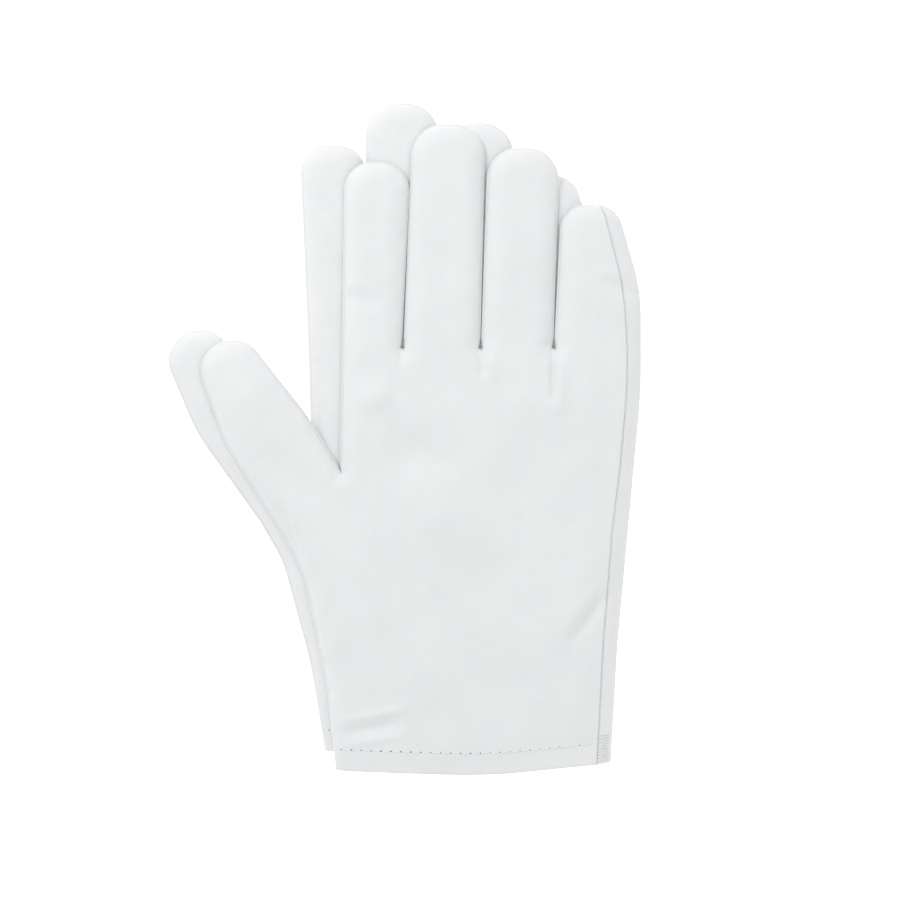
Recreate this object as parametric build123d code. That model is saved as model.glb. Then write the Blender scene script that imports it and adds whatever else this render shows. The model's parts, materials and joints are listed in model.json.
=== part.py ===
"""A pair of thin knitted gloves, laid flat on each other with their fingers along +Y.

The left glove lies on top with its palm up, and the right glove lies under it with its palm down, so that
seen from above both have the same outline. Each glove is worked out in its own cutting frame, whose Z starts
at the glove's lowest layer, and is then laid in place.
"""
from build123d import *
import os
from collections import namedtuple

# Cloth, in millimetres
CLOTH = 0.6
GLOVE_DEPTH = 6.6
STACK_GAP = 0.5
HEM_HEIGHT = 7.4
STITCH_PITCH = 3.6
STITCH = (2.4, 0.5, 0.2)
SEAM_RETURN = 4.6
RETURN_TOP = 79.0
TACK_HEIGHT = 11.0

# Where the digits leave the palm
CROTCH_Y = 33.0
KNUCKLE_RISE = 7.0
HINGE_Y = CROTCH_Y + KNUCKLE_RISE
HINGE_GAP = 0.4
ROOT_DEPTH = 13.0
ROOT_INSET = 2.0
THUMB_TILT = 31.5
THUMB_HINGE = (-41.6, -10.8)
THUMB_ZONE = (38.0, 60.0)

# The under glove's place against the upper one, turned about the upper glove's thumb-side hem corner
HEM_CORNER = (-24.1, -119.8)
LAY_TURN = 3.2
LAY_SHIFT = (-4.3, 6.3)

# A finger's sides at the crotch and at the tip, left then right, its tip's height, and its corner radius
Finger = namedtuple("Finger", "base tip top corner")
FINGERS = {
    "index": Finger((-21.8, -1.1), (-21.0, 2.2), 100.4, 10.0),
    "middle": Finger((0.3, 27.3), (3.6, 29.3), 114.2, 11.5),
    "ring": Finger((28.7, 53.9), (31.2, 56.2), 105.5, 11.0),
    "little": Finger((55.3, 85.8), (57.9, 77.0), 84.7, 9.0),
}
LITTLE_BULGE = (85.8, 54.0)
LITTLE_BULGE_R = 70.0

# Corners of the palm and the thumb, each with the radius that rounds it
THUMB_BASE = (-43.2, -35.0)
THUMB_CROTCH = (-22.8, -12.2)
THUMB_CORNERS = [
    (THUMB_BASE, 0.0),
    ((-64.5, -1.5), 60.0),
    ((-75.8, 30.0), 10.0),
    ((-59.0, 38.0), 10.0),
    ((-36.3, 9.3), 80.0),
    (THUMB_CROTCH, 0.0),
    ((-20.0, -30.0), 0.0),
]
HEM_SAG = (30.0, -121.6)
HEM_RIGHT = (74.8, -117.0)
PALM_CORNERS = [
    (HEM_CORNER, 1.5),
    (HEM_SAG, 200.0),
    (HEM_RIGHT, 2.0),
    ((77.2, -75.0), 300.0),
    ((FINGERS["little"].base[1], 18.0), 200.0),
    ((FINGERS["little"].base[1], CROTCH_Y), 0.0),
    ((FINGERS["index"].base[0], CROTCH_Y), 0.0),
    (THUMB_CROTCH, 0.0),
    (THUMB_BASE, 0.0),
    ((-35.6, -50.0), 40.0),
    ((-27.5, -88.0), 150.0),
]

# Larger than any glove, for the boxes that divide one
BEYOND = 300.0


def rounded_face(corners):
    """A flat face through the corners, each rounded by its own radius."""
    points = [point for point, radius in corners]
    radii = [radius for point, radius in corners]
    return make_face(FilletPolyline(*points, radius=radii, close=True))


def finger_face(name):
    """One finger lying flat, with a root that reaches into the palm."""
    finger = FINGERS[name]
    left, right = finger.base
    corners = [
        ((left, CROTCH_Y), 0.0),
        ((finger.tip[0], finger.top), finger.corner),
        ((finger.tip[1], finger.top), finger.corner),
    ]
    if name == "little":
        corners.append((LITTLE_BULGE, LITTLE_BULGE_R))
    corners += [
        ((right, CROTCH_Y), 0.0),
        ((right - ROOT_INSET, CROTCH_Y - ROOT_DEPTH), 0.0),
        ((left + ROOT_INSET, CROTCH_Y - ROOT_DEPTH), 0.0),
    ]
    return rounded_face(corners)


def glove_face():
    """The whole glove's outline, lying flat."""
    face = rounded_face(PALM_CORNERS) + rounded_face(THUMB_CORNERS)
    for name in FINGERS:
        face += finger_face(name)
    return face.clean()


def block(low, high):
    """A box between two opposite corners."""
    size = [b - a for a, b in zip(low, high)]
    return Pos(*low) * Box(*size, align=(Align.MIN, Align.MIN, Align.MIN))


def layer(face, bottom, thickness):
    """A flat layer of cloth cut to the face."""
    return extrude(Pos(0, 0, bottom) * face, thickness)


def finger_zone(shift):
    """Everything past the fingers' fold line, moved out by shift."""
    return block((-30.0, HINGE_Y + shift, -BEYOND), (BEYOND, BEYOND, BEYOND))


def thumb_zone(shift):
    """Everything past the thumb's fold line, moved out by shift."""
    half_width, length = THUMB_ZONE[0] / 2, THUMB_ZONE[1]
    zone = block((-half_width, shift, -BEYOND), (half_width, length, BEYOND))
    return Pos(*THUMB_HINGE) * Rot(0, 0, THUMB_TILT) * zone


def palm_part(shape):
    """What stays with the palm: all but the digits past their folds."""
    return shape - finger_zone(-HINGE_GAP / 2) - thumb_zone(-HINGE_GAP / 2)


def digit_parts(shape):
    """What moves with each digit, as a dictionary by the digit's name."""
    past_fold = (shape & finger_zone(HINGE_GAP / 2)).solids().sort_by(Axis.X)
    parts = {"thumb": shape & thumb_zone(HINGE_GAP / 2)}
    for name, finger in FINGERS.items():
        left, right = min(finger.base[0], finger.tip[0]), max(finger.base[1], finger.tip[1])
        mine = [s for s in past_fold if left < s.center().X < right]
        parts[name] = Part() + mine
    return parts


def sides(name, shape):
    """The left and right halves of a finger's edge, divided at its middle."""
    finger = FINGERS[name]
    middle = (sum(finger.base) + sum(finger.tip)) / 4
    left = shape & block((-BEYOND, -BEYOND, -BEYOND), (middle, BEYOND, BEYOND))
    right = shape & block((middle, -BEYOND, -BEYOND), (BEYOND, BEYOND, BEYOND))
    return left, right


def hem_row_y(x):
    """The height of the hem's stitch row, which runs beside the hem's lower edge."""
    start, end = (HEM_CORNER, HEM_SAG) if x < HEM_SAG[0] else (HEM_SAG, HEM_RIGHT)
    along = (x - start[0]) / (end[0] - start[0])
    return start[1] + along * (end[1] - start[1]) + HEM_HEIGHT


def hem_stitching(bottom):
    """A row of separate stitches on the glove's upper face."""
    first, last = HEM_CORNER[0] + STITCH_PITCH, HEM_RIGHT[0] - SEAM_RETURN - STITCH_PITCH / 2
    count = int((last - first) / STITCH_PITCH)
    stitch = Box(*STITCH, align=(Align.CENTER, Align.CENTER, Align.MIN))
    xs = [first + STITCH_PITCH * i for i in range(count + 1)]
    return Part() + [Pos(x, hem_row_y(x), bottom) * stitch for x in xs]


def glove(side, palm_up):
    """Every piece of one glove in its cutting frame, as a dictionary by node name."""
    outline = glove_face()
    inner = offset(outline, -CLOTH)
    top, hem_top = GLOVE_DEPTH - CLOTH, HEM_SAG[1] + HEM_HEIGHT
    below_hem = layer(Rectangle(BEYOND, BEYOND), 0, GLOVE_DEPTH)
    below_hem = Pos(0, hem_top - BEYOND / 2, 0) * below_hem
    lowered = Pos(0, -2 * CLOTH, 0) * inner

    # The edge all round, open at the cuff
    wall = layer(outline - inner, CLOTH, GLOVE_DEPTH - 2 * CLOTH)
    wall -= layer(lowered, 0, GLOVE_DEPTH) & below_hem

    # The back's cloth turns round the little side and returns on the palm
    return_face = outline - Pos(-SEAM_RETURN, 0) * outline
    little_side = Rectangle(BEYOND, BEYOND, align=(Align.MIN, Align.MAX))
    return_face &= Pos(HEM_RIGHT[0] - SEAM_RETURN, RETURN_TOP) * little_side
    palm_z, back_z = (top, 0) if palm_up else (0, top)
    seam_return = layer(return_face, palm_z, CLOTH)
    palm_side = layer(outline - return_face, palm_z, CLOTH)
    back_side = layer(outline, back_z, CLOTH)

    # The hems are turned inside, clear of the side walls
    turned = (layer(inner, 0, CLOTH) + layer(lowered, 0, CLOTH)) & layer(outline, 0, CLOTH) & below_hem
    upper_hem, lower_hem = Pos(0, 0, top - CLOTH) * turned, Pos(0, 0, CLOTH) * turned
    palm_hem, back_hem = (upper_hem, lower_hem) if palm_up else (lower_hem, upper_hem)

    pieces = {}
    pieces["palm_panel"] = palm_part(palm_side)
    pieces["back_panel"] = palm_part(back_side)
    pieces["palm_hem"] = palm_hem
    pieces["back_hem"] = back_hem
    pieces["hem_stitching"] = hem_stitching(GLOVE_DEPTH)

    # The palm's walls, from the thumb side to the little side
    names = [
        "thumb_side_edge",
        "thumb_crotch",
        "index_middle_fourchette",
        "middle_ring_fourchette",
        "ring_little_fourchette",
        "little_side_edge",
    ]
    walls = palm_part(wall).solids().sort_by(Axis.X)
    for name, solid in zip(names, walls, strict=True):
        pieces[name] = Part() + solid
    tack_zone = block((0, -BEYOND, -BEYOND), (BEYOND, HEM_RIGHT[1] + TACK_HEIGHT, BEYOND))
    little_return = palm_part(seam_return)
    pieces["little_side_edge"] += little_return - tack_zone
    pieces["corner_tack"] = little_return & tack_zone

    # The digits
    palm_sides, back_sides = digit_parts(palm_side), digit_parts(back_side)
    walls, returns = digit_parts(wall), digit_parts(seam_return)
    for digit in palm_sides:
        pieces[digit + "_palm_side"] = palm_sides[digit]
        pieces[digit + "_back_side"] = back_sides[digit]
    pieces["thumb_gusset"] = walls["thumb"]
    for digit in ("middle", "ring"):
        left, right = sides(digit, walls[digit])
        pieces[digit + "_fourchettes"] = Part() + [*left.solids(), *right.solids()]
    pieces["index_edge"], pieces["index_fourchette"] = sides("index", walls["index"])
    pieces["little_fourchette"], little_edge = sides("little", walls["little"])
    pieces["little_edge"] = little_edge + returns["little"]
    return {side + "_" + name: shape for name, shape in pieces.items()}


def lay_under(shape):
    """Turns and shifts the under glove to its place."""
    to_corner = Pos(-HEM_CORNER[0], -HEM_CORNER[1], 0)
    back = Pos(HEM_CORNER[0] + LAY_SHIFT[0], HEM_CORNER[1] + LAY_SHIFT[1], 0)
    return back * Rot(0, 0, LAY_TURN) * to_corner * shape


def pair():
    """Both gloves in place, with the origin under the middle of the pair."""
    lift = Pos(0, 0, GLOVE_DEPTH + STACK_GAP)
    pieces = {name: lift * shape for name, shape in glove("left", palm_up=True).items()}
    pieces |= {name: lay_under(shape) for name, shape in glove("right", palm_up=False).items()}
    boxes = [shape.bounding_box() for shape in pieces.values()]
    middle_x = (min(box.min.X for box in boxes) + max(box.max.X for box in boxes)) / 2
    middle_y = (min(box.min.Y for box in boxes) + max(box.max.Y for box in boxes)) / 2
    return {name: Pos(-middle_x, -middle_y, 0) * shape for name, shape in pieces.items()}


os.makedirs("parts", exist_ok=True)
for node, shape in pair().items():
    export_step(shape, f"parts/{node}.step")
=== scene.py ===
"""Looks of a pair of thin knitted gloves that lie flat on each other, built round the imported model."""
import functools
import json
import math

import bpy
import numpy as np
from bpy.props import FloatProperty, FloatVectorProperty, IntProperty, PointerProperty
from bpy.types import Operator, Panel, PropertyGroup
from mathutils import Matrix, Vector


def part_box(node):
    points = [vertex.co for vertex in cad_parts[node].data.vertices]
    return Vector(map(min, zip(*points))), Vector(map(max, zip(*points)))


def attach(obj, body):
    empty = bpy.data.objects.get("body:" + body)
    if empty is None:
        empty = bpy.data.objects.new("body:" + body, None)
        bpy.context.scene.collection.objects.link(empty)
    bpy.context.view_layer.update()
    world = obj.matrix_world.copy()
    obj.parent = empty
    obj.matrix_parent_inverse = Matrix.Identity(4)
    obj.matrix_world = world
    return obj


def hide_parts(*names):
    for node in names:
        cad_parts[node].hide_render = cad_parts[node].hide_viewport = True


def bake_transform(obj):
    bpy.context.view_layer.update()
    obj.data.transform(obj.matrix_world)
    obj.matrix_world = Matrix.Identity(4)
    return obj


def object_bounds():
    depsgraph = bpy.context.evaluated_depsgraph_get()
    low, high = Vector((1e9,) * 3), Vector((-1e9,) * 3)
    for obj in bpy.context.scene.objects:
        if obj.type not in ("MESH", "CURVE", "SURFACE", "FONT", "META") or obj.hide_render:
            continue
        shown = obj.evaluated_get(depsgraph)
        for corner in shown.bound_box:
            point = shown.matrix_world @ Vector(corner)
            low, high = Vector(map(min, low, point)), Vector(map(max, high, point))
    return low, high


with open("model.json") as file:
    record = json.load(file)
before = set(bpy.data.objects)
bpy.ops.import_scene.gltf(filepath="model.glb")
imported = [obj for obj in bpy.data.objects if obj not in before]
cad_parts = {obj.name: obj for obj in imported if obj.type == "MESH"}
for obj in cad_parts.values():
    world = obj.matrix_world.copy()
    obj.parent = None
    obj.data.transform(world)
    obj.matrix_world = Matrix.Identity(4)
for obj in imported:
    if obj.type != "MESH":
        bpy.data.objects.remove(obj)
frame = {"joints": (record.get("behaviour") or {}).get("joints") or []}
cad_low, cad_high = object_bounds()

bl_info = {
    "name": "Knitted glove pair",
    "version": (1, 0, 0),
    "blender": (4, 5, 0),
    "location": "3D View > Sidebar > Gloves",
    "description": "Sews a pair of thin white knitted gloves round their packed frame",
    "category": "Object",
}

MM = 0.001
SIDES = ("left", "right")
FINGERS = ("index", "middle", "ring", "little")

# The cutting pattern, in millimetres: fingers along +Y, thumb on the left
CROTCH_Y = 33.0
HINGE_Y = 40.0
SEAM_RETURN = 4.6
FINGER_BASE = {"index": (-21.8, -1.1), "middle": (0.3, 27.3), "ring": (28.7, 53.9), "little": (55.3, 85.8)}
FINGER_TIP = {"index": (-21.0, 2.2), "middle": (3.6, 29.3), "ring": (31.2, 56.2), "little": (57.9, 77.0)}
FINGER_TOP = {"index": 100.4, "middle": 114.2, "ring": 105.5, "little": 84.7}
TIP_RADIUS = {"index": 10.0, "middle": 11.5, "ring": 11.0, "little": 9.0}
LITTLE_BULGE = ((85.8, 54.0), 70.0)
HEM_CORNERS = (((-24.1, -119.8), 0.0), ((30.0, -121.6), 200.0), ((74.8, -117.0), 0.0))
THUMB_SIDE = (((-24.1, -119.8), 0.0), ((-27.5, -88.0), 150.0), ((-35.6, -50.0), 40.0), ((-43.2, -35.0), 0.0))
LITTLE_SIDE = (((74.8, -117.0), 0.0), ((77.2, -75.0), 300.0), ((85.8, 18.0), 200.0), ((85.8, 33.0), 0.0))
THUMB_BASE = (-43.2, -35.0)
THUMB_CROTCH = (-22.8, -12.2)
THUMB_CORNERS = (
    (THUMB_BASE, 0.0),
    ((-64.5, -1.5), 60.0),
    ((-75.8, 30.0), 10.0),
    ((-59.0, 38.0), 10.0),
    ((-36.3, 9.3), 80.0),
    (THUMB_CROTCH, 0.0),
)

# How finely the cloth is divided
FINGER_COLUMNS = 26
RETURN_COLUMNS = 6
GAP_COLUMNS = 2
FINGER_ROWS = 64
THUMB_ROWS = 56
HEM_ROWS = 8
SIDE_ROWS = 74
INDEX_SIDE_ROWS = 38
EDGE_COLUMNS = 5
FOLD_STEPS = 4

# The space between the points that a distance to the edge is measured to, in millimetres
EDGE_STEP = 0.4
# How high the upper glove hangs past the lower one, in millimetres
HANG = 4.7
# How much less the strips between the index and middle fingers bulge, so their gap stays open
WIDE_GAP = 0.7
# How far from a crotch the strips are pinched, in millimetres
PINCH_REACH = 4.0
# Where the strips' pattern starts along the knit, clear of the panels, in millimetres
STRIP_START = 400
# How far up from the hem the cuff gapes, and the slack in the hem's turn, in millimetres
CUFF_REACH = 26
TURN_SLACK = 0.08

# Waves over the cloth: height, longest wave and shortest wave, in millimetres
BROAD_WAVES = (0.22, 70, 22)
FINE_WAVES = (0.07, 14, 6)
SEAM_PUCKERS = (0.22, 7, 4)
UNDER_WAVES = (0.10, 40, 14)

# Where the hem's stitches start and end, and the corner tack's height, in millimetres
ROW_START = 3.0
ROW_END = 1.5
TACK_HEIGHT = 11.0
TACK_TURNS = 18
HOLE_CORNERS = 12

# The piece that each part of the edge strip belongs to
STRIP_PIECES = {
    "thumb_side_edge": "thumb_side_edge",
    "thumb_gusset": "thumb_gusset",
    "thumb_crotch": "thumb_crotch",
    "index_first": "index_edge",
    "index_last": "index_fourchette",
    "middle_first": "middle_fourchettes",
    "middle_last": "middle_fourchettes",
    "ring_first": "ring_fourchettes",
    "ring_last": "ring_fourchettes",
    "little_first": "little_fourchette",
    "little_last": "little_edge",
    "index_web": "index_middle_fourchette",
    "middle_web": "middle_ring_fourchette",
    "ring_web": "ring_little_fourchette",
    "little_side_edge": "little_side_edge",
}
WEBS = ("thumb_crotch", "index_middle_fourchette", "middle_ring_fourchette", "ring_little_fourchette")

# The stage, in metres and watts: each lamp's place from the gloves' middle, its power and its width
LAMPS = (("key", (-0.36, 0.6, 0.52), 2.3, 0.4), ("fill", (0.9, -0.6, 1.3), 2.0, 1.2))
FLOOR_REACH = 6.0
FLOOR_GLOW = 0.45
SKY_GLOW = 0.83
# The camera's lens and sensor, in millimetres, and the middle and width of what it sees, in metres
LENS = 90.0
SENSOR = 36.0
VIEW_MIDDLE = (0.0168, -0.0046, 0.004)
VIEW_WIDTH = 0.3285


# ---------------------------------------------------------------- sizes and colours

class GloveSizes(PropertyGroup):
    """Sizes of the cloth and its sewing."""

    cloth: FloatProperty(
        name="Cloth thickness", description="Thickness of one layer of knit",
        default=0.55 * MM, unit="LENGTH",
    )
    finger_loft: FloatProperty(
        name="Finger loft", description="Thickness of a finger at its middle",
        default=4.7 * MM, unit="LENGTH",
    )
    palm_loft: FloatProperty(
        name="Palm loft", description="Thickness of the glove at the palm",
        default=5.3 * MM, unit="LENGTH",
    )
    edge: FloatProperty(
        name="Edge height", description="Height of the side strips and fourchettes",
        default=1.7 * MM, unit="LENGTH",
    )
    cuff_gape: FloatProperty(
        name="Cuff gape", description="How much higher the edges stand at the cuff",
        default=1.4 * MM, unit="LENGTH",
    )
    shoulder: FloatProperty(
        name="Shoulder", description="Width over which the cloth rises from its edge",
        default=7.0 * MM, unit="LENGTH",
    )
    bulge: FloatProperty(
        name="Edge bulge", description="How far an edge strip rounds outwards",
        default=0.5 * MM, unit="LENGTH",
    )
    flare: FloatProperty(
        name="Flare", description="How much wider the lower skin spreads",
        default=0.22 * MM, unit="LENGTH",
    )
    lay_gap: FloatProperty(
        name="Lay gap", description="Air between the two gloves", default=0.15 * MM, unit="LENGTH"
    )
    hem: FloatProperty(
        name="Hem height", description="Height of the turned hem", default=7.4 * MM, unit="LENGTH"
    )
    seam_drop: FloatProperty(
        name="Seam depth", description="How far the little side's seam turns in",
        default=0.4 * MM, unit="LENGTH",
    )
    seam_gap: FloatProperty(
        name="Seam gap", description="Half the space between two sewn edges",
        default=0.05 * MM, unit="LENGTH",
    )
    edge_drop: FloatProperty(
        name="Edge seam depth", description="How far the strips' seams turn in",
        default=0.14 * MM, unit="LENGTH",
    )
    stitch_pitch: FloatProperty(
        name="Stitch pitch", description="Length of one hem stitch", default=3.6 * MM, unit="LENGTH"
    )
    thread: FloatProperty(
        name="Thread", description="Diameter of the sewing thread", default=0.42 * MM, unit="LENGTH"
    )
    knit_pitch: FloatProperty(
        name="Knit pitch", description="Width of one column of loops", default=0.72 * MM, unit="LENGTH"
    )
    floor_drop: FloatProperty(
        name="Floor drop", description="How far the floor lies below the gloves",
        default=100 * MM, unit="LENGTH",
    )
    seed: IntProperty(name="Seed", description="Where the loose wrinkles fall", default=11)


class GloveColours(PropertyGroup):
    """Colours of the cloth, the thread and the stage."""

    knit: FloatVectorProperty(
        name="Knit", description="White of the cloth", default=(0.80, 0.808, 0.812), subtype="COLOR"
    )
    # Painted shade: the darker white that the low places between the loops get
    loop_gap_painted_shade: FloatVectorProperty(
        name="Knit shade", description="White between the loops",
        default=(0.74, 0.75, 0.757), subtype="COLOR",
    )
    thread: FloatVectorProperty(
        name="Thread", description="White of the sewing thread",
        default=(0.86, 0.865, 0.87), subtype="COLOR",
    )
    # Painted shade: the dark grey inside the needle holes stands in for their shadow
    hole: FloatVectorProperty(
        name="Needle hole", description="Shade inside a needle hole",
        default=(0.33, 0.34, 0.35), subtype="COLOR",
    )
    floor: FloatVectorProperty(
        name="Floor", description="Pale floor under the gloves",
        default=(0.93, 0.93, 0.93), subtype="COLOR",
    )


# ---------------------------------------------------------------- flat pattern

def rounded_path(corners, step=0.25):
    """Points along straight runs whose corners are arcs: each arc starts r*tan(turn/2) before its corner."""
    points = [np.array(corners[0][0], float)[None]]
    for (before, _), (corner, radius), (after, _) in zip(corners, corners[1:], corners[2:]):
        corner = np.array(corner, float)
        way_in = corner - before
        way_out = after - corner
        way_in, way_out = way_in / np.linalg.norm(way_in), way_out / np.linalg.norm(way_out)
        turn = math.atan2(way_in[0] * way_out[1] - way_in[1] * way_out[0], way_in @ way_out)
        if radius == 0 or abs(turn) < 1e-6:
            points.append(corner[None])
            continue
        start = corner - way_in * radius * math.tan(abs(turn) / 2)
        side = np.array([-way_in[1], way_in[0]]) * math.copysign(radius, turn)
        angle = np.linspace(0, turn, max(3, int(abs(turn) * radius / step)))[:, None]
        spun = -side * np.cos(angle) + np.array([side[1], -side[0]]) * np.sin(angle)
        points.append(start + side + spun)
    points.append(np.array(corners[-1][0], float)[None])
    return np.concatenate(points)


def path_length(path):
    """A path's length: its steps' lengths added up."""
    return np.linalg.norm(np.diff(path, axis=0), axis=1).sum()


def along(path, shares):
    """Points at the given shares of a path's length, from 0 to 1."""
    length = np.concatenate([[0], np.cumsum(np.linalg.norm(np.diff(path, axis=0), axis=1))])
    at = np.asarray(shares) * length[-1]
    return np.stack([np.interp(at, length, path[:, i]) for i in range(path.shape[1])], axis=-1)


def crowded(count, share=0.65):
    """Shares from 0 to 1 that crowd at both ends: a mix of even steps and a half cosine wave."""
    even = np.linspace(0, 1, count + 1)
    return (1 - share) * even + share * (0.5 - 0.5 * np.cos(np.pi * even))


def patch(bottom, top, left, right):
    """A grid between four sides: both ruled surfaces added, less the one through the four corners."""
    u = np.concatenate([[0], np.cumsum(np.linalg.norm(np.diff(top, axis=0), axis=1))])
    v = np.concatenate([[0], np.cumsum(np.linalg.norm(np.diff(right, axis=0), axis=1))])
    u, v = (u / u[-1])[None, :, None], (v / v[-1])[:, None, None]
    across = (1 - u) * left[:, None] + u * right[:, None]
    up = (1 - v) * bottom[None] + v * top[None]
    corner = (1 - u) * (1 - v) * bottom[0] + u * (1 - v) * bottom[-1]
    corner = corner + (1 - u) * v * top[0] + u * v * top[-1]
    return across + up - corner


def finger_columns(name, path):
    """Shares of a path across one finger; the little finger's last columns are its seam's return."""
    if name != "little":
        return crowded(FINGER_COLUMNS)
    seam = 1 - SEAM_RETURN / path_length(path)
    finger = crowded(FINGER_COLUMNS - RETURN_COLUMNS) * seam
    return np.concatenate([finger, seam + crowded(RETURN_COLUMNS)[1:] * (1 - seam)])


def split_tip(path, corner_a, corner_b):
    """Cuts a digit's outline at the middles of its round corners: left side, tip and right side."""
    first = np.argmin(np.linalg.norm(path - corner_a, axis=1))
    last = np.argmin(np.linalg.norm(path - corner_b, axis=1))
    return path[: first + 1], path[first : last + 1], path[last:][::-1]


def finger_layout(name):
    """One finger's flat grid, from the crotch line to its tip."""
    (left, right), (tip_left, tip_right) = FINGER_BASE[name], FINGER_TIP[name]
    top, radius = FINGER_TOP[name], TIP_RADIUS[name]
    corners = [((left, CROTCH_Y), 0.0), ((tip_left, top), radius), ((tip_right, top), radius)]
    if name == "little":
        corners.append(LITTLE_BULGE)
    corners.append(((right, CROTCH_Y), 0.0))
    side_a, tip, side_b = split_tip(rounded_path(corners), (tip_left, top), (tip_right, top))
    base = np.array([(left, CROTCH_Y), (right, CROTCH_Y)], float)
    rows = 1 - (1 - np.linspace(0, 1, FINGER_ROWS + 1)) ** 1.15
    return patch(
        along(base, finger_columns(name, base)),
        along(tip, finger_columns(name, tip)),
        along(side_a, rows),
        along(side_b, rows),
    )


def thumb_layout():
    """The thumb's flat grid, from its slanting base line to its tip."""
    side_a, tip, side_b = split_tip(rounded_path(THUMB_CORNERS), THUMB_CORNERS[2][0], THUMB_CORNERS[3][0])
    base = np.array([THUMB_BASE, THUMB_CROTCH], float)
    rows = 1 - (1 - np.linspace(0, 1, THUMB_ROWS + 1)) ** 1.15
    columns = crowded(FINGER_COLUMNS)
    return patch(along(base, columns), along(tip, columns), along(side_a, rows), along(side_b, rows))


def palm_layout(sizes):
    """The palm's flat grid; its left side runs up the thumb side, thumb base and index side."""
    hem = sizes.hem / MM
    side = rounded_path(THUMB_SIDE)
    hem_share = hem / path_length(side)
    rows = np.concatenate([
        np.linspace(0, hem_share, HEM_ROWS + 1),
        hem_share + (1 - hem_share) * np.linspace(0, 1, SIDE_ROWS + 1)[1:],
    ])
    line = np.array([THUMB_BASE, THUMB_CROTCH], float)
    index_side = np.array([THUMB_CROTCH, (FINGER_BASE["index"][0], CROTCH_Y)], float)
    left = np.concatenate([
        along(side, rows),
        along(line, crowded(FINGER_COLUMNS))[1:],
        along(index_side, np.linspace(0, 1, INDEX_SIDE_ROWS + 1))[1:],
    ])
    opposite = rounded_path(LITTLE_SIDE)
    low_left, low_right = left[0, 1], opposite[0, 1]
    heights = low_right + (left[:, 1] - low_left) * (CROTCH_Y - low_right) / (CROTCH_Y - low_left)
    right = np.stack([np.interp(heights, opposite[:, 1], opposite[:, 0]), heights], axis=-1)
    top = []
    for name in FINGERS:
        start, end = FINGER_BASE[name]
        base = np.array([(start, CROTCH_Y), (end, CROTCH_Y)], float)
        top.append(along(base, finger_columns(name, base)))
        if name != "little":
            next_start = FINGER_BASE[FINGERS[FINGERS.index(name) + 1]][0]
            gap = np.linspace(end, next_start, GAP_COLUMNS + 1)[1:-1]
            top.append(np.stack([gap, np.full(len(gap), CROTCH_Y)], axis=-1))
    top = np.concatenate(top)
    hem_path = rounded_path(HEM_CORNERS)
    seam = 1 - SEAM_RETURN / path_length(hem_path)
    share = (top[:, 0] - top[0, 0]) / (top[-1, 0] - top[0, 0])
    knots = [0, share[-1 - RETURN_COLUMNS], 1]
    bottom = along(hem_path, np.interp(share, knots, [0, seam, 1]))
    return patch(bottom, top, left, right)


def distance_to(points, path):
    """The least distance from each point to a path, whose points lie closer than the answer needs."""
    best = np.full(len(points), np.inf)
    for start in range(0, len(path), 200):
        some = path[start : start + 200]
        gap = np.linalg.norm(points[:, None] - some[None], axis=2).min(axis=1)
        best = np.minimum(best, gap)
    return best


# ---------------------------------------------------------------- wrinkles

def slow_waves(points, seed, longest, shortest, count=14):
    """A smooth random height between about -1 and 1: sine waves of seeded direction, length and phase."""
    random = np.random.default_rng(seed)
    angle = random.uniform(0, np.pi, count)
    length = np.exp(random.uniform(np.log(shortest), np.log(longest), count))
    phase = random.uniform(0, 2 * np.pi, count)
    way = np.stack([np.cos(angle), np.sin(angle)]) * 2 * np.pi / length
    return (np.sin(points @ way + phase) * (length / longest) ** 0.5).sum(axis=1) / math.sqrt(count)


def crease(points, start, end, width, height):
    """A straight fold: a bell across it, a smooth swelling along it, and nothing past its ends."""
    start, end = np.array(start, float), np.array(end, float)
    way = end - start
    length = np.linalg.norm(way)
    way /= length
    reach = (points - start) @ way / length
    off = (points - start) @ np.array([-way[1], way[0]])
    swell = np.clip(4 * reach * (1 - reach), 0, 1) ** 0.7
    return height * swell * np.exp(-((off / width) ** 2))


# Folds that show on the upper glove: start, end, width and height, in millimetres
UPPER_FOLDS = (
    ((54.6, 34.0), (54.2, 13.0), 1.3, -1.1),
    ((57.5, 34.0), (56.0, 8.0), 3.0, 0.55),
    ((28.0, 34.0), (29.0, 22.0), 1.6, -0.8),
    ((31.0, 35.0), (33.0, 20.0), 3.0, 0.35),
    ((47.5, 34.6), (56.0, 33.8), 0.7, -0.35),
    ((-0.4, 34.0), (-1.0, 26.0), 1.3, -0.6),
    ((-24.0, -102.6), (2.5, -97.2), 1.5, 0.5),
    ((-23.0, -107.2), (0.5, -102.6), 2.0, -0.6),
    ((-22.5, -111.2), (1.5, -107.0), 1.4, 0.42),
    ((-38.0, 55.0), (-8.0, 49.0), 2.6, -0.45),
    ((-36.0, 60.0), (-8.0, 54.0), 2.4, 0.3),
    ((60.0, -75.0), (74.0, -55.0), 2.4, -0.7),
    ((57.0, -72.0), (71.0, -52.0), 2.2, 0.4),
    ((-18.0, 16.0), (-4.0, 18.0), 4.5, 0.55),
    ((-6.0, 4.0), (20.0, -12.0), 6.0, -0.5),
    ((72.0, 58.0), (84.0, 52.0), 2.4, -0.4),
    ((70.0, 63.0), (83.0, 57.0), 2.0, 0.25),
    ((-52.0, -4.0), (-30.0, -24.0), 5.0, -0.5),
    ((-46.0, -22.0), (-36.0, -46.0), 1.6, -0.7),
    ((-43.0, -20.0), (-33.0, -46.0), 2.2, 0.35),
)


# How strongly the broad rises and the folds show
RISE_SCALE = 2.0
FOLD_SCALE = 1.6
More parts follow.
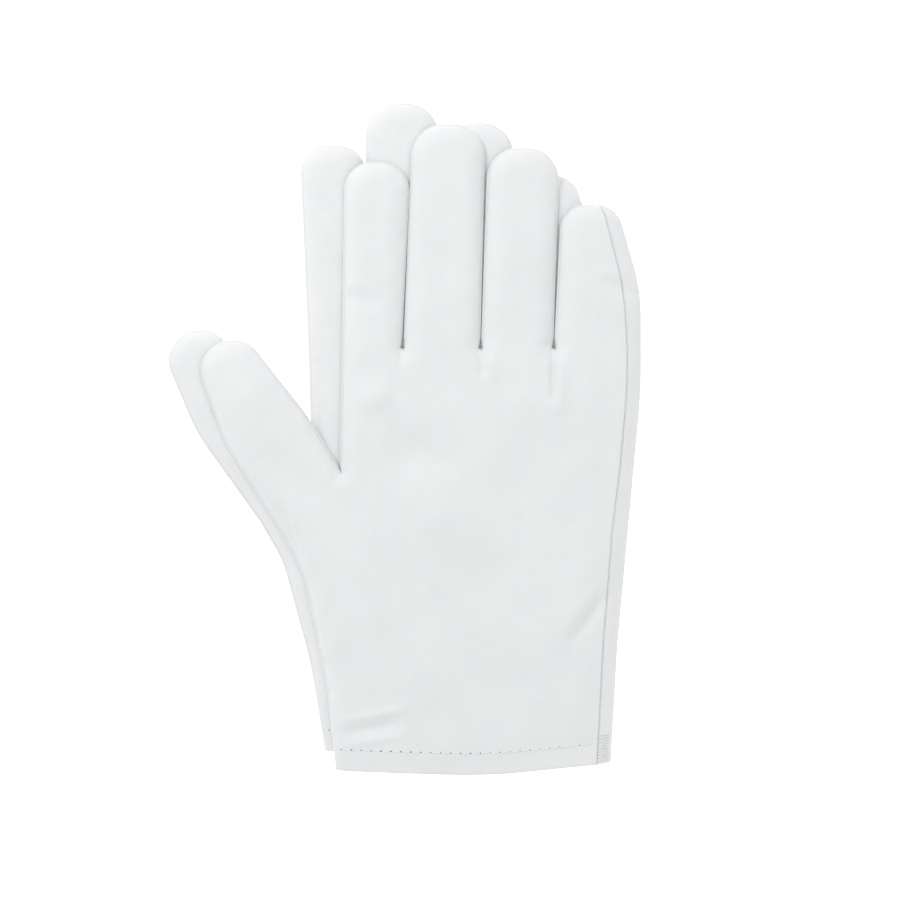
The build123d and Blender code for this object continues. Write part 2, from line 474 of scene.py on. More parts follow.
# Broad rises and hollows of the upper glove: centre, half width, half length, turn in degrees and height
UPPER_RISES = (
    ((-10.5, 13.0), 7.0, 4.5, 15.0, 0.6),
    ((13.0, -30.0), 14.0, 12.0, -35.0, 0.9),
    ((30.0, -52.0), 9.0, 12.0, 30.0, -0.6),
    ((44.0, 12.0), 14.0, 9.0, 10.0, 0.5),
    ((60.0, -62.0), 8.0, 18.0, -25.0, 0.7),
    ((64.0, -92.0), 6.0, 14.0, -10.0, 0.5),
    ((-56.0, 12.0), 7.0, 16.0, 32.0, 0.8),
    ((-36.0, -12.0), 9.0, 12.0, 32.0, -0.5),
    ((-14.0, -62.0), 10.0, 22.0, 5.0, 0.5),
    ((2.0, -8.0), 9.0, 7.0, 0.0, -0.5),
)


def rises(points, centre, half_width, half_length, turn, height):
    """A broad bell: its height times e to minus the squared distance along its own two axes."""
    angle = math.radians(turn)
    off = points - np.array(centre)
    across = off @ np.array([math.cos(angle), math.sin(angle)]) / half_width
    up = off @ np.array([-math.sin(angle), math.cos(angle)]) / half_length
    return height * np.exp(-(across**2) - up**2)


# ---------------------------------------------------------------- one glove's cloth

class Cloth:
    """The points and faces of one whole glove, with each face under its piece's name."""

    def __init__(self):
        self.points = np.zeros((0, 3))
        self.flat = np.zeros((0, 2))
        self.faces = {}

    def add(self, points, flat):
        """Takes new points and gives their numbers, in the shape of the grid that they came in."""
        shape = points.shape[:-1]
        first = len(self.points)
        self.points = np.concatenate([self.points, points.reshape(-1, 3)])
        self.flat = np.concatenate([self.flat, flat.reshape(-1, 2)])
        return np.arange(first, len(self.points)).reshape(shape)

    def quads(self, name, grid, flip=False):
        """Adds a grid's faces to a piece, facing up for columns to the right and rows upwards."""
        faces = np.stack([grid[:-1, :-1], grid[:-1, 1:], grid[1:, 1:], grid[1:, :-1]], axis=-1).reshape(-1, 4)
        self.faces.setdefault(name, []).append(faces[:, ::-1] if flip else faces)

    def all_faces(self):
        """Every face of the glove."""
        return np.concatenate([part for parts in self.faces.values() for part in parts])


def point_normals(points, faces):
    """Each point's normal: the sum of the cross products of its faces' diagonals, made one long."""
    corner = points[faces]
    cross = np.cross(corner[:, 2] - corner[:, 0], corner[:, 3] - corner[:, 1])
    total = np.zeros_like(points)
    for i in range(4):
        np.add.at(total, faces[:, i], cross)
    return total / np.maximum(np.linalg.norm(total, axis=1, keepdims=True), 1e-12)


def outline_ids(grids):
    """The numbers of the points round one skin's edge, from the hem's left end to its right end."""
    palm, thumb = grids["palm"], grids["thumb"]
    low = HEM_ROWS + SIDE_ROWS
    high = low + FINGER_COLUMNS
    path = [palm[: low + 1, 0], thumb[1:, 0], thumb[-1, 1:], thumb[-2::-1, -1], palm[high + 1 :, 0]]
    marks = {"thumb_side_edge": (0, low)}
    length = low + THUMB_ROWS + FINGER_COLUMNS + THUMB_ROWS
    marks["thumb_gusset"] = (low, length)
    marks["thumb_crotch"] = (length, length + INDEX_SIDE_ROWS)
    at = length + INDEX_SIDE_ROWS
    column = 0
    for name in FINGERS:
        grid = grids[name]
        path += [grid[1:, 0], grid[-1, 1:], grid[-2::-1, -1]]
        middle = at + FINGER_ROWS + FINGER_COLUMNS // 2
        end = at + 2 * FINGER_ROWS + FINGER_COLUMNS
        marks[name + "_first"], marks[name + "_last"] = (at, middle), (middle, end)
        at = end
        column += FINGER_COLUMNS
        if name != "little":
            path.append(palm[-1, column + 1 : column + GAP_COLUMNS + 1])
            marks[name + "_web"] = (at, at + GAP_COLUMNS)
            at += GAP_COLUMNS
            column += GAP_COLUMNS
    path.append(palm[-2::-1, -1])
    marks["little_side_edge"] = (at, at + palm.shape[0] - 1)
    ids = np.concatenate([np.atleast_1d(part) for part in path])
    # A finger's path ends where the web's first point already is
    keep = np.concatenate([[True], np.diff(ids) != 0])
    return ids[keep], marks


def raised(flat, heights):
    """A flat grid's points in metres, each at its height."""
    points = flat.reshape(-1, 2)
    return np.concatenate([points * MM, heights(points)[:, None]], axis=1).reshape(*flat.shape[:-1], 3)


def skin(cloth, layouts, heights):
    """Adds one skin's points and gives its grids' numbers; fingers and thumb share the palm's edge points."""
    palm_flat = layouts["palm"]
    columns = palm_flat.shape[1]
    palm = cloth.add(raised(palm_flat, heights), palm_flat)
    grids = {"palm": palm}
    low = HEM_ROWS + SIDE_ROWS
    base = palm[low : low + FINGER_COLUMNS + 1, 0]
    rest = layouts["thumb"][1:]
    grids["thumb"] = np.concatenate([base[None], cloth.add(raised(rest, heights), rest)])
    column = 0
    for name in FINGERS:
        base = palm[-1, column : column + FINGER_COLUMNS + 1]
        rest = layouts[name][1:]
        grids[name] = np.concatenate([base[None], cloth.add(raised(rest, heights), rest)])
        column += FINGER_COLUMNS + GAP_COLUMNS
    if column != columns - 1 + GAP_COLUMNS:
        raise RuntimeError("the fingers' columns don't fill the palm's top row")
    return grids


@functools.lru_cache(maxsize=None)
def drape_map():
    """The under glove's top as a height map: its points' heights, spread to close the gaps, then smoothed."""
    glove = sewn_glove("right")
    ids = np.concatenate([grid.ravel() for grid in glove["above"].values()])
    points = lay("right", glove["cloth"].points[ids])
    low = points[:, :2].min(axis=0) - 20 * MM
    cell = 1.0 * MM
    size = ((points[:, :2].max(axis=0) + 20 * MM - low) / cell).astype(int) + 1
    heights = np.full(size, HANG * MM)
    where = ((points[:, :2] - low) / cell + 0.5).astype(int)
    np.maximum.at(heights, (where[:, 0], where[:, 1]), points[:, 2])
    for _ in range(3):
        heights = np.maximum.reduce([np.roll(heights, step, axis) for step in (-1, 0, 1) for axis in (0, 1)])
    spread = heights
    for _ in range(14):
        for axis in (0, 1):
            heights = (np.roll(heights, 1, axis) + 2 * heights + np.roll(heights, -1, axis)) / 4
    heights = np.maximum(heights, spread)
    for _ in range(4):
        for axis in (0, 1):
            heights = (np.roll(heights, 1, axis) + 2 * heights + np.roll(heights, -1, axis)) / 4
    return low, cell, heights


def drape_height(places):
    """The height map's value at each place, weighed between its cell's four corners."""
    low, cell, heights = drape_map()
    at = np.clip((places - low) / cell, 0, np.array(heights.shape) - 1.001)
    first = at.astype(int)
    (i, j), (a, b) = first.T, (at - first).T
    near = heights[i, j] * (1 - a) + heights[i + 1, j] * a
    far = heights[i, j + 1] * (1 - a) + heights[i + 1, j + 1] * a
    return near * (1 - b) + far * b


def edge_points(layouts):
    """Points all round the flat glove's edge, close enough to measure distances to it."""
    palm, thumb = layouts["palm"], layouts["thumb"]
    base = HEM_ROWS + SIDE_ROWS
    parts = [palm[: base + 1, 0], thumb[:, 0], thumb[-1], thumb[:, -1]]
    parts += [palm[base + FINGER_COLUMNS :, 0], palm[:, -1]]
    for name in FINGERS:
        parts += [layouts[name][:, 0], layouts[name][-1], layouts[name][:, -1]]
    counts = [2 + int(path_length(part) / EDGE_STEP) for part in parts]
    return np.concatenate([along(part, np.linspace(0, 1, n)) for part, n in zip(parts, counts)])


def rise(points, edge_path, sizes):
    """Each point's share of the full loft, a quarter of a rounded square, and its distance to the edge."""
    away = distance_to(points, edge_path)
    # A point on the edge can lie half a step from the nearest of the edge's points
    away = np.sqrt(np.maximum(away**2 - (EDGE_STEP / 2) ** 2, 0)) * MM
    q = np.clip(away / sizes.shoulder, 0, 1)
    return (1 - (1 - q) ** 2) ** 0.75, away


def lay_height(side, points, sizes):
    """What a glove lies on, in its own frame: the floor, or the other glove's top for the upper glove."""
    if side == "right":
        return np.zeros(len(points))
    placed = lay(side, np.concatenate([points * MM, np.zeros((len(points), 1))], axis=1))
    return drape_height(placed[:, :2]) + sizes.lay_gap - placed[:, 2]


def first_seed(side, sizes):
    """Where a glove's own run of wave seeds starts."""
    return sizes.seed + (0 if side == "left" else 50)


def waves(points, seed, kind):
    """One kind of wave over the cloth, in metres."""
    height, longest, shortest = kind
    return height * MM * slow_waves(points, seed, longest, shortest)


def upper_heights(side, points, edge_path, sizes):
    """The upper skin: its edge height, then the loft by rise, with waves, puckers and folds on top."""
    share, away = rise(points, edge_path, sizes)
    in_palm = 1 / (1 + np.exp((points[:, 1] - CROTCH_Y + 4) / 6))
    loft = sizes.finger_loft + (sizes.palm_loft - sizes.finger_loft) * in_palm
    from_hem = points[:, 1] - HEM_CORNERS[0][0][1]
    edge = sizes.edge + sizes.cuff_gape * np.exp(-((from_hem / CUFF_REACH) ** 2))
    z = edge + (loft - edge) * share
    inside = np.clip(away / (6 * MM), 0, 1)
    seed = first_seed(side, sizes)
    z += waves(points, seed, BROAD_WAVES) * inside
    z += waves(points, seed + 1, FINE_WAVES) * inside
    pucker = np.exp(-away / (2.5 * MM)) * np.clip(away / (0.6 * MM), 0, 1)
    z += waves(points, seed + 2, SEAM_PUCKERS) * pucker
    if side == "left":
        for fold in UPPER_FOLDS:
            z += FOLD_SCALE * crease(points, *fold) * MM * np.clip(away / (1.5 * MM), 0.15, 1)
        for broad in UPPER_RISES:
            z += RISE_SCALE * rises(points, *broad) * MM * inside
    return np.maximum(z, edge * 0.8) + lay_height(side, points, sizes)


def lower_heights(side, points, edge_path, sizes):
    """The lower skin: almost flat on what it lies on, with slow waves where the air lifts it."""
    share, _ = rise(points, edge_path, sizes)
    height, longest, shortest = UNDER_WAVES
    z = 0.12 * MM + 0.25 * MM * (1 - share) ** 2
    z += height * MM * (1 + slow_waves(points, first_seed(side, sizes) + 3, longest, shortest)) * share
    z += lay_height(side, points, sizes)
    return z


def cut_panels(cloth, grids, word, up):
    """Names one skin's faces; on the palm side the last columns belong to the edge that wraps round."""
    wraps = word == "palm"
    own = slice(None, -RETURN_COLUMNS) if wraps else slice(None)
    wrapped = slice(-1 - RETURN_COLUMNS, None)
    cloth.quads(word + "_panel", grids["palm"][:, own], flip=not up)
    for name in FINGERS + ("thumb",):
        grid = grids[name]
        if wraps and name == "little":
            cloth.quads("little_edge", grid[:, wrapped], flip=not up)
            grid = grid[:, own]
        cloth.quads(f"{name}_{word}_side", grid, flip=not up)
    if wraps:
        cloth.quads("little_side_edge", grids["palm"][:, wrapped], flip=not up)


def edge_band(cloth, above, below, sizes):
    """The strip round the edge, from the hem's left end to its right: its numbers and its pieces' places."""
    top_ids, marks = outline_ids(above)
    low_ids, _ = outline_ids(below)
    top, low = cloth.points[top_ids], cloth.points[low_ids]
    way = np.gradient(top[:, :2], axis=0)
    way /= np.linalg.norm(way, axis=1, keepdims=True)
    out = np.stack([-way[:, 1], way[:, 0], np.zeros(len(way))], axis=1)
    webs = [((FINGER_BASE[a][1] + FINGER_BASE[b][0]) / 2, CROTCH_Y) for a, b in zip(FINGERS, FINGERS[1:])]
    pinch = np.array([THUMB_CROTCH] + webs) * MM
    open_up = np.linalg.norm(top[:, None, :2] - pinch[None], axis=2).min(axis=1)
    open_up = np.clip(open_up / (PINCH_REACH * MM), 0, 1)
    share = np.linspace(0, 1, EDGE_COLUMNS + 1)[1:-1][None, :, None]
    low = low + out * (sizes.flare * open_up)[:, None]
    cloth.points[low_ids] = low
    strip = top[:, None] * (1 - share) + low[:, None] * share
    narrow = open_up.copy()
    narrow[marks["index_last"][0] : marks["middle_first"][1]] *= WIDE_GAP
    strip = strip + out[:, None] * np.sin(np.pi * share**1.4) * (sizes.bulge * narrow)[:, None, None]
    length = np.concatenate([[0], np.cumsum(np.linalg.norm(np.diff(top, axis=0), axis=1))]) / MM
    flat = np.broadcast_arrays(length[:, None] + STRIP_START, share[:, :, 0] * sizes.edge / MM)
    middle = cloth.add(strip, np.stack(flat, axis=-1))
    band = np.concatenate([top_ids[:, None], middle, low_ids[:, None]], axis=1)
    for mark, name in STRIP_PIECES.items():
        first, last = marks[mark]
        cloth.quads(name, band[first : last + 1], flip=True)
    return band, marks


def turn_hem(cloth, above, below, band, words, sizes):
    """Turns the hem inside all round the cuff: half a circle at its edge, then its rows again, further in."""
    palm, under = above["palm"], below["palm"]
    rows = [
        np.concatenate([palm[k], band[-1 - k, 1:-1], under[k, ::-1], band[k, -2:0:-1], palm[k, :1]])
        for k in range(HEM_ROWS + 1)
    ]
    normals = point_normals(cloth.points, cloth.all_faces())
    ring, nor = cloth.points[rows[0]], normals[rows[0]]
    outward = ring - cloth.points[rows[1]]
    outward -= nor * (outward * nor).sum(axis=1, keepdims=True)
    outward /= np.linalg.norm(outward, axis=1, keepdims=True)
    radius = sizes.cloth + TURN_SLACK * MM
    angle = np.linspace(0, np.pi, FOLD_STEPS + 1)[1:, None, None]
    turned = ring - nor * radius + (nor * np.cos(angle) + outward * np.sin(angle)) * radius
    inside = np.stack([cloth.points[row] - normals[row] * 2 * radius for row in rows[1:]])
    hem_points = np.concatenate([turned, inside])[:, :-1]
    hem_flat = np.broadcast_to(cloth.flat[rows[0]][None, :-1], hem_points.shape[:2] + (2,)).copy()
    hem_flat[:, :, 1] -= np.arange(1, len(hem_points) + 1)[:, None] * sizes.hem / MM / HEM_ROWS
    new = cloth.add(hem_points, hem_flat)
    loop = np.concatenate([rows[0][None], np.concatenate([new, new[:, :1]], axis=1)])
    across = palm.shape[1] + EDGE_COLUMNS - 1
    cloth.quads(words[0] + "_hem", loop[:, : across + 1], flip=True)
    cloth.quads(words[1] + "_hem", loop[:, across:], flip=True)


def seam_ids(band, marks, palm_grids):
    """The numbers of the points on the strips' seams, and on the little side's deeper seam."""
    sewn = [
        band[first : last + 1, [0, -1]].ravel()
        for mark, (first, last) in marks.items()
        if mark not in ("little_side_edge", "little_last")
    ]
    deep = [palm_grids[name][:, -1 - RETURN_COLUMNS] for name in ("palm", "little")]
    return np.unique(np.concatenate(sewn)), np.unique(np.concatenate(deep))


@functools.lru_cache(maxsize=None)
def sewn_glove(side):
    """The whole glove's cloth in its cutting frame, in metres, with its lowest layer at Z = 0."""
    sizes = bpy.context.scene.glove_sizes
    layouts = {name: finger_layout(name) for name in FINGERS}
    layouts["thumb"] = thumb_layout()
    layouts["palm"] = palm_layout(sizes)
    edge_path = edge_points(layouts)
    # The left glove lies palm up and the right one palm down
    words = ("palm", "back") if side == "left" else ("back", "palm")
    cloth = Cloth()
    above = skin(cloth, layouts, lambda points: upper_heights(side, points, edge_path, sizes))
    below = skin(cloth, layouts, lambda points: lower_heights(side, points, edge_path, sizes))
    cut_panels(cloth, above, words[0], up=True)
    cut_panels(cloth, below, words[1], up=False)
    band, marks = edge_band(cloth, above, below, sizes)
    turn_hem(cloth, above, below, band, words, sizes)
    edge_seams, deep_seams = seam_ids(band, marks, above if side == "left" else below)
    return {
        "cloth": cloth,
        "normals": point_normals(cloth.points, cloth.all_faces()),
        "edge_seams": edge_seams,
        "deep_seams": deep_seams,
        "above": above,
        "cut": {word: cut_sizes(layouts, word) for word in ("palm", "back")},
    }


def cut_sizes(layouts, word):
    """Each panel's cut area, width and length in metres; the area is summed over its flat grid's cells."""
    cuts = {}
    for name, grid in layouts.items():
        if word == "palm" and name in ("palm", "little"):
            grid = grid[:, :-RETURN_COLUMNS]
        a, b = grid[1:, 1:] - grid[:-1, :-1], grid[1:, :-1] - grid[:-1, 1:]
        area = float(np.abs(a[..., 0] * b[..., 1] - a[..., 1] * b[..., 0]).sum() / 2) * MM * MM
        width, length = np.ptp(grid.reshape(-1, 2), axis=0) * MM
        cuts[name] = (area, float(width), float(length))
    return cuts


# ---------------------------------------------------------------- placing

def joint(name):
    """One of the frame's joints."""
    return next(j for j in frame["joints"] if j["name"] == name)


def lay(side, points):
    """Turns and shifts points from the cutting frame to the glove's place, found by its index hinge."""
    hinge = joint(f"{side}_index_flex")
    x, y = hinge["axis"][0], hinge["axis"][1]
    if side == "right":
        x, y = -x, -y
    start = np.array([sum(FINGER_BASE["index"]) / 2 * MM, HINGE_Y * MM])
    spin = np.array([[x, -y], [y, x]])
    placed = np.array(points, float)
    placed[..., :2] = (placed[..., :2] - start) @ spin.T + np.array(hinge["pos_m"][:2])
    base = min(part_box(f"{side}_{word}_panel")[0].z for word in ("palm", "back"))
    placed[..., 2] += base
    return placed


def lay_way(side, ways):
    """Turns directions from the cutting frame to the glove's place."""
    zero = np.zeros((1, 3))
    return lay(side, ways) - lay(side, zero)


def boundary_edges(faces):
    """The edges that only one face has, each in its face's own direction."""
    edges = np.concatenate([np.stack([faces[:, i], faces[:, (i + 1) % 4]], axis=1) for i in range(4)])
    keys = np.sort(edges, axis=1)
    _, first, count = np.unique(keys, axis=0, return_index=True, return_counts=True)
    return edges[first[count == 1]]


def shell(side, name):
    """One piece as a closed shell: its outer face, the same face one cloth thickness inside, and its rim."""
    sizes = bpy.context.scene.glove_sizes
    glove = sewn_glove(side)
    cloth = glove["cloth"]
    faces = np.concatenate(cloth.faces[name])
    used, local = np.unique(faces, return_inverse=True)
    faces = local.reshape(faces.shape)
    points, normals, flat = cloth.points[used].copy(), glove["normals"][used], cloth.flat[used]
    own = point_normals(points, faces)
    rim = boundary_edges(faces)
    on_rim = np.zeros(len(points), bool)
    on_rim[rim.ravel()] = True
    deep = np.isin(used, glove["deep_seams"]) & on_rim
    sewn = (np.isin(used, glove["edge_seams"]) & on_rim) | deep
    drop = np.where(deep, sizes.seam_drop, sizes.edge_drop)[:, None]
    draw = np.where(deep, sizes.seam_gap, sizes.seam_gap / 3)[:, None]
    # A sewn edge turns in: it drops under the surface and draws back from its neighbour
    centre = np.zeros_like(points)
    hits = np.zeros(len(points))
    middles = points[faces].mean(axis=1)
    for i in range(4):
        np.add.at(centre, faces[:, i], middles)
        np.add.at(hits, faces[:, i], 1)
    back = centre / hits[:, None] - points
    back -= own * (back * own).sum(axis=1, keepdims=True)
    back /= np.maximum(np.linalg.norm(back, axis=1, keepdims=True), 1e-9)
    outer = points + sewn[:, None] * (back * draw - own * drop)
    shade = np.where(sewn[:, None], own, normals)
    inner = outer - np.where(sewn[:, None], own, normals) * sizes.cloth
    count = len(points)
    side_faces = np.stack([rim[:, 1], rim[:, 0], rim[:, 0] + count, rim[:, 1] + count], axis=1)
    all_points = lay(side, np.concatenate([outer, inner]))
    all_normals = lay_way(side, np.concatenate([shade, -shade]))
    all_faces = np.concatenate([faces, faces[:, ::-1] + count, side_faces])
    return all_points, all_faces, all_normals, np.concatenate([flat, flat])


def make_mesh(name, points, faces, normals=None, flat=None):
    """A smooth mesh object at the origin, with its own normals and its pattern as a UV map."""
    mesh = bpy.data.meshes.new(name)
    mesh.vertices.add(len(points))
    mesh.vertices.foreach_set("co", points.astype(np.float32).ravel())
    corners = faces.shape[1]
    mesh.loops.add(faces.size)
    mesh.loops.foreach_set("vertex_index", faces.astype(np.int32).ravel())
    mesh.polygons.add(len(faces))
    mesh.polygons.foreach_set("loop_start", np.arange(0, faces.size, corners, dtype=np.int32))
    mesh.polygons.foreach_set("use_smooth", np.ones(len(faces), bool))
    mesh.update(calc_edges=True)
    mesh.validate()
    if flat is not None:
        uv = mesh.uv_layers.new(name="pattern")
        uv.data.foreach_set("uv", (flat * MM)[faces].astype(np.float32).ravel())
    if normals is not None:
        mesh.normals_split_custom_set_from_vertices(normals.astype(np.float32))
    obj = bpy.data.objects.new(name, mesh)
    bpy.context.scene.collection.objects.link(obj)
    return obj


def sew_piece(side, name, material, bends=None):
    """Makes one piece of cloth and replaces its CAD node; a piece without a digit rides with its glove's
    body, and a digit's piece only has its place baked in.
    """
    obj = make_mesh(f"{side}_{name}_cloth", *shell(side, name))
    obj.data.materials.append(material)
    if bends is None:
        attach(obj, f"{side}_glove")
    else:
        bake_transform(obj)
    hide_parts(f"{side}_{name}")
    return obj


def declare_sheet(side, word, part):
    """Reads a cut piece's flat area, width and length from its glove's cut sizes, and does nothing with them.
    """
    area, width, length = sewn_glove(side)["cut"][word][part]


# ---------------------------------------------------------------- materials

def node(tree, kind, **inputs):
    """A new shader node with some inputs set, each by its name."""
    made = tree.nodes.new(kind)
    for name, value in inputs.items():
        made.inputs[name].default_value = value
    return made


def math_node(tree, operation, first, second=None, third=None):
    """A Math node whose inputs are sockets or plain numbers; gives its output."""
    made = tree.nodes.new("ShaderNodeMath")
    made.operation = operation
    for socket, value in zip(made.inputs, (first, second, third)):
        if value is None:
            continue
        if isinstance(value, bpy.types.NodeSocket):
            tree.links.new(value, socket)
        else:
            socket.default_value = value
    return made.outputs[0]


def group(name, inputs, outputs):
    """A new shader node group with named sockets, and its input and output nodes."""
    tree = bpy.data.node_groups.new(name, "ShaderNodeTree")
    for label, kind, value in inputs:
        socket = tree.interface.new_socket(label, in_out="INPUT", socket_type=kind)
        if value is not None:
            socket.default_value = value
    for label, kind in outputs:
        tree.interface.new_socket(label, in_out="OUTPUT", socket_type=kind)
    return tree, tree.nodes.new("NodeGroupInput"), tree.nodes.new("NodeGroupOutput")


@functools.lru_cache(maxsize=None)
def knit_group():
    """Fine knit: columns of loops across U, rows of loops along V, and slow tone changes over both."""
    tree, source, sink = group(
        "fine_knit",
        [("Pattern", "NodeSocketVector", None), ("Pitch", "NodeSocketFloat", 0.0007)],
        [("Loops", "NodeSocketFloat"), ("Tone", "NodeSocketFloat")],
    )
    split = tree.nodes.new("ShaderNodeSeparateXYZ")
    tree.links.new(source.outputs["Pattern"], split.inputs[0])
    u = math_node(tree, "DIVIDE", split.outputs["X"], source.outputs["Pitch"])
    v = math_node(tree, "DIVIDE", split.outputs["Y"], source.outputs["Pitch"])
    column = math_node(tree, "ABSOLUTE", math_node(tree, "SINE", math_node(tree, "MULTIPLY", u, math.pi)))
    # Each column's loops lean the other way, so the row's phase follows the column's side
    lean = math_node(tree, "MULTIPLY", column, 0.9)
    leaned = math_node(tree, "ADD", v, lean)
    row = math_node(tree, "SINE", math_node(tree, "MULTIPLY", leaned, 2 * math.pi * 1.25))
    row = math_node(tree, "MULTIPLY_ADD", row, 0.22, 0.22)
    loops = math_node(tree, "MULTIPLY_ADD", column, 0.6, row)
    tree.links.new(loops, sink.inputs["Loops"])
    noise = node(tree, "ShaderNodeTexNoise", Scale=55.0, Detail=3.0, Roughness=0.55)
    tree.links.new(source.outputs["Pattern"], noise.inputs["Vector"])
    tree.links.new(noise.outputs["Fac"], sink.inputs["Tone"])
    return tree


@functools.lru_cache(maxsize=None)
def fuzz_group():
    """Stray fibres: a fine uneven height over the cloth."""
    tree, source, sink = group(
        "cotton_fuzz", [("Pattern", "NodeSocketVector", None)], [("Height", "NodeSocketFloat")]
    )
    noise = node(tree, "ShaderNodeTexNoise", Scale=1400.0, Detail=2.0, Roughness=0.6)
    tree.links.new(source.outputs["Pattern"], noise.inputs["Vector"])
    tree.links.new(noise.outputs["Fac"], sink.inputs["Height"])
    return tree


def new_material(name, settings):
    """A new material with some of its shader's inputs set: the material, its node tree and its shader."""
    made = bpy.data.materials.new(name)
    made.use_nodes = True
    shader = made.node_tree.nodes["Principled BSDF"]
    for label, value in settings.items():
        shader.inputs[label].default_value = value
    return made, made.node_tree, shader


def two_tone(tree, shader, factor, dark, light):
    """Mixes two colours by a factor into the shader's base colour."""
    mix = tree.nodes.new("ShaderNodeMix")
    mix.data_type = "RGBA"
    mix.inputs["A"].default_value = (*dark, 1)
    mix.inputs["B"].default_value = (*light, 1)
    tree.links.new(factor, mix.inputs["Factor"])
    tree.links.new(mix.outputs["Result"], shader.inputs["Base Color"])


def relief(tree, shader, height, strength, depth):
    """Turns a height into the shader's normal."""
    bump = node(tree, "ShaderNodeBump", Strength=strength, Distance=depth)
    tree.links.new(height, bump.inputs["Height"])
    tree.links.new(bump.outputs[0], shader.inputs["Normal"])


def knit_material(name, pitch, depth):
    """White knitted cloth: two close whites mixed by its loops, the darker one painted shade between the
    loops, plus a random slow tone; a soft sheen, and the loops as relief.
    """
    colours = bpy.context.scene.glove_colours
    made, tree, shader = new_material(
        name, {"Roughness": 0.88, "Specular IOR Level": 0.2, "Sheen Weight": 0.3, "Sheen Roughness": 0.45}
    )
    uv = tree.nodes.new("ShaderNodeUVMap")
    uv.uv_map = "pattern"
    knit = tree.nodes.new("ShaderNodeGroup")
    knit.node_tree = knit_group()
    knit.inputs["Pitch"].default_value = pitch
    fuzz = tree.nodes.new("ShaderNodeGroup")
    fuzz.node_tree = fuzz_group()
    tree.links.new(uv.outputs[0], knit.inputs["Pattern"])
    tree.links.new(uv.outputs[0], fuzz.inputs["Pattern"])
    # The loops' low places take the darker white, painted shade between the loops; the noise adds a random
    # slow tone
    share = math_node(tree, "MULTIPLY_ADD", knit.outputs["Loops"], 0.45, knit.outputs["Tone"])
    two_tone(tree, shader, math_node(tree, "MINIMUM", share, 1.0), colours.loop_gap_painted_shade, colours.knit)
    height = math_node(tree, "MULTIPLY_ADD", fuzz.outputs["Height"], 0.35, knit.outputs["Loops"])
    relief(tree, shader, height, 0.5, depth)
    return made


@functools.lru_cache(maxsize=None)
def panel_knit():
    """The panels' knit."""
    return knit_material("white_panel_knit", bpy.context.scene.glove_sizes.knit_pitch, 0.08 * MM)


@functools.lru_cache(maxsize=None)
def fourchette_knit():
    """The narrow strips' knit, a little closer."""
    return knit_material("white_strip_knit", bpy.context.scene.glove_sizes.knit_pitch * 0.9, 0.07 * MM)


@functools.lru_cache(maxsize=None)
def thread_material():
    """Twisted white polyester thread: slanting plies as relief, painted shade darker in the grooves between
    them, and a light gloss.
    """
    made, tree, shader = new_material("white_thread", {"Roughness": 0.5, "Sheen Weight": 0.15})
    coords = tree.nodes.new("ShaderNodeTexCoord")
    wave = node(tree, "ShaderNodeTexWave", Scale=900.0, Distortion=0.4)
    wave.bands_direction = "DIAGONAL"
    tree.links.new(coords.outputs["Object"], wave.inputs["Vector"])
    colour = bpy.context.scene.glove_colours.thread
    # The plies' low bands get a darker white: painted shade in the grooves between the plies
    two_tone(tree, shader, wave.outputs["Fac"], [c * 0.9 for c in colour], colour)
    relief(tree, shader, wave.outputs["Fac"], 0.4, 0.05 * MM)
    return made


@functools.lru_cache(maxsize=None)
def hole_material():
    """Painted shade inside a needle hole, mottled by a fine noise."""
    made, tree, shader = new_material("needle_hole_painted_shade", {"Roughness": 0.95, "Specular IOR Level": 0.0})
    coords = tree.nodes.new("ShaderNodeTexCoord")
    noise = node(tree, "ShaderNodeTexNoise", Scale=1500.0)
    tree.links.new(coords.outputs["Object"], noise.inputs["Vector"])
    colour = bpy.context.scene.glove_colours.hole
    two_tone(tree, shader, noise.outputs["Fac"], [c * 0.7 for c in colour], colour)
    return made


# ---------------------------------------------------------------- sewing

def tube(path, radius, around=8):
    """A round thread along a path: circles square to the path, closed at both ends by a point."""
    way = np.gradient(path, axis=0)
    way /= np.linalg.norm(way, axis=1, keepdims=True)
    aside = np.cross(way, [0.0, 0.0, 1.0])
    aside /= np.maximum(np.linalg.norm(aside, axis=1, keepdims=True), 1e-9)
    up = np.cross(aside, way)
    angle = np.linspace(0, 2 * np.pi, around, endpoint=False)[None, :, None]
    rings = path[:, None] + radius * (np.cos(angle) * aside[:, None] + np.sin(angle) * up[:, None])
    count = len(path)
    grid = np.arange(count * around).reshape(count, around)
    grid = np.concatenate([grid, grid[:, :1]], axis=1)
    faces = np.stack([grid[:-1, :-1], grid[:-1, 1:], grid[1:, 1:], grid[1:, :-1]], axis=-1).reshape(-1, 4)
    ends = [path[:1] - way[:1] * radius, path[-1:] + way[-1:] * radius]
    points = np.concatenate([rings.reshape(-1, 3), *ends])
    first, last = count * around, count * around + 1
    caps = [np.stack([grid[0, 1:], grid[0, :-1], np.full(around, first), np.full(around, first)], axis=1)]
    caps.append(np.stack([grid[-1, :-1], grid[-1, 1:], np.full(around, last), np.full(around, last)], axis=1))
    return points, faces, np.concatenate(caps)[:, :3]


def thread_object(name, paths, radius):
    """Many threads as one mesh, each its own closed tube."""
    points, faces = [], []
    start = 0
    for path in paths:
        some, quads, triangles = tube(path, radius)
        points.append(some)
        faces += (quads + start).tolist() + (triangles + start).tolist()
        start += len(some)
    return loose_object(name, np.concatenate(points), faces)


def sew_thread(side, name, paths):
    """Makes one piece of thread, replaces its CAD node, and rides with the palm."""
    obj = thread_object(f"{side}_{name}_thread", paths, bpy.context.scene.glove_sizes.thread / 2)
    obj.data.materials.append(thread_material())
    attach(obj, f"{side}_glove")
    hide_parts(f"{side}_{name}")


